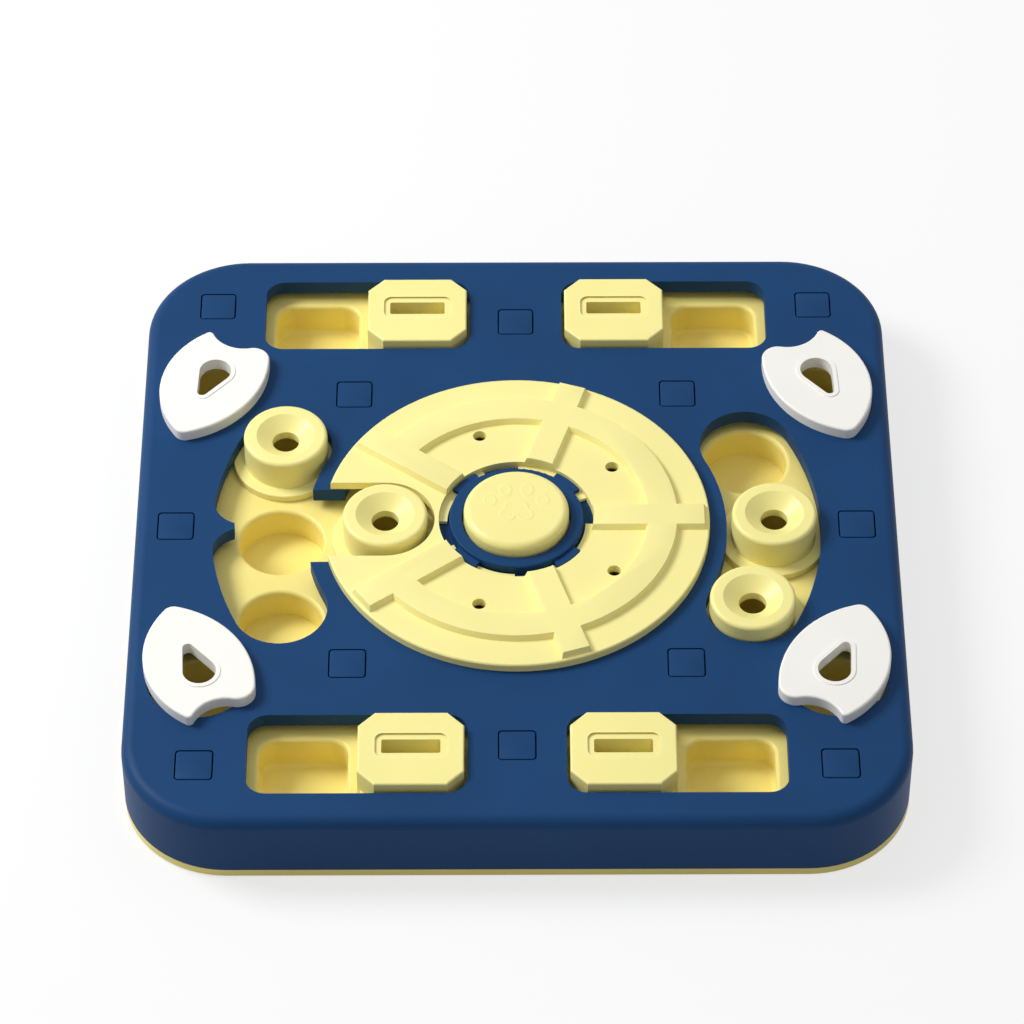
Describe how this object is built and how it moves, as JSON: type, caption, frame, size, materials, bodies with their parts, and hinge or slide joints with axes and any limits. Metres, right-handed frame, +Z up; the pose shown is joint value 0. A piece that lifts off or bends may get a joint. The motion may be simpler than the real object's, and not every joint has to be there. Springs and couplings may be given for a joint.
{
  "type": "dog puzzle feeder",
  "caption": "Square treat puzzle board for dogs: navy cover over a pale yellow tray, with window sliders, round sliding pegs, a notched turntable round a squeaker button, and white corner lids.",
  "frame": {"origin": "centre of the board on the table, at the underside of the rubber feet", "axes": "+X to the right and +Z up as seen from the front, -Y towards the viewer"},
  "size_m": [0.29, 0.29, 0.0413],
  "materials": {
    "tray_plastic": "satin moulded",
    "cover_plastic": "satin moulded",
    "plug_plastic": "satin moulded",
    "foot_rubber": "matt",
    "slider_plastic": "satin moulded",
    "peg_plastic": "satin moulded",
    "disc_plastic": "satin moulded",
    "lid_plastic": "satin moulded",
    "screw_steel": "zinc plated",
    "button_plastic": "satin moulded",
    "bulb_rubber": "matt",
    "reed_plastic": "matt"
  },
  "bodies": {
    "board": {"base_tray": "tray_plastic", "top_cover": "cover_plastic", "cover_plugs": "plug_plastic", "rubber_feet": "foot_rubber", "squeaker_bulb": "bulb_rubber", "squeaker_reed": "reed_plastic"},
    "turntable": {"turntable": "disc_plastic"},
    "lock_peg": {"lock_peg": "peg_plastic"},
    "left_rear_peg": {"left_rear_peg": "peg_plastic"},
    "right_middle_peg": {"right_middle_peg": "peg_plastic"},
    "right_front_peg": {"right_front_peg": "peg_plastic"},
    "rear_left_slider": {"rear_left_slider": "slider_plastic"},
    "rear_right_slider": {"rear_right_slider": "slider_plastic"},
    "front_left_slider": {"front_left_slider": "slider_plastic"},
    "front_right_slider": {"front_right_slider": "slider_plastic"},
    "rear_left_lid": {"rear_left_lid": "lid_plastic", "rear_left_lid_screw": "screw_steel"},
    "rear_right_lid": {"rear_right_lid": "lid_plastic", "rear_right_lid_screw": "screw_steel"},
    "front_left_lid": {"front_left_lid": "lid_plastic", "front_left_lid_screw": "screw_steel"},
    "front_right_lid": {"front_right_lid": "lid_plastic", "front_right_lid_screw": "screw_steel"},
    "squeak_button": {"squeak_button": "button_plastic"}
  },
  "joints": [
    {"name": "turntable_turn", "type": "hinge", "parent": "board", "child": "turntable", "pos_m": [0, 0, 0.033], "axis": [0, 0, 1], "range_deg": [-288, 0]},
    {"name": "lock_peg_slide", "type": "slide", "parent": "turntable", "child": "lock_peg", "axis": [-1, 0, 0], "range_m": [0, 0.0395]},
    {"name": "left_rear_peg_arc", "type": "hinge", "parent": "board", "child": "left_rear_peg", "pos_m": [-0.0525, 0.0207, 0.022], "axis": [0, 0, -1], "range_deg": [-52, 0]},
    {"name": "right_front_peg_arc", "type": "hinge", "parent": "board", "child": "right_front_peg", "pos_m": [0, 0, 0.022], "axis": [0, 0, 1], "range_deg": [0, 25]},
    {"name": "right_middle_peg_arc", "type": "hinge", "parent": "board", "child": "right_middle_peg", "pos_m": [0, 0, 0.022], "axis": [0, 0, 1], "range_deg": [0, 25]},
    {"name": "rear_left_slider_slide", "type": "slide", "parent": "board", "child": "rear_left_slider", "axis": [-1, 0, 0], "range_m": [0, 0.0394]},
    {"name": "rear_right_slider_slide", "type": "slide", "parent": "board", "child": "rear_right_slider", "axis": [1, 0, 0], "range_m": [0, 0.0394]},
    {"name": "front_left_slider_slide", "type": "slide", "parent": "board", "child": "front_left_slider", "axis": [-1, 0, 0], "range_m": [0, 0.0394]},
    {"name": "front_right_slider_slide", "type": "slide", "parent": "board", "child": "front_right_slider", "axis": [1, 0, 0], "range_m": [0, 0.0394]},
    {"name": "rear_left_lid_swing", "type": "hinge", "parent": "board", "child": "rear_left_lid", "pos_m": [-0.127, 0.051, 0.0313], "axis": [0, 0, 1], "range_deg": [0, 80]},
    {"name": "rear_right_lid_swing", "type": "hinge", "parent": "board", "child": "rear_right_lid", "pos_m": [0.127, 0.051, 0.0313], "axis": [0, 0, -1], "range_deg": [0, 80]},
    {"name": "front_left_lid_swing", "type": "hinge", "parent": "board", "child": "front_left_lid", "pos_m": [-0.127, -0.051, 0.0313], "axis": [0, 0, -1], "range_deg": [0, 80]},
    {"name": "front_right_lid_swing", "type": "hinge", "parent": "board", "child": "front_right_lid", "pos_m": [0.127, -0.051, 0.0313], "axis": [0, 0, 1], "range_deg": [0, 80]},
    {"name": "squeak_button_press", "type": "slide", "parent": "board", "child": "squeak_button", "axis": [0, 0, -1], "range_m": [0, 0.004], "stiffness_N_per_m": 300, "deforming": ["squeaker_bulb"]}
  ],
  "couplings": [
    {"joint": "right_middle_peg_arc", "follows": "right_front_peg_arc", "ratio": 1}
  ]
}
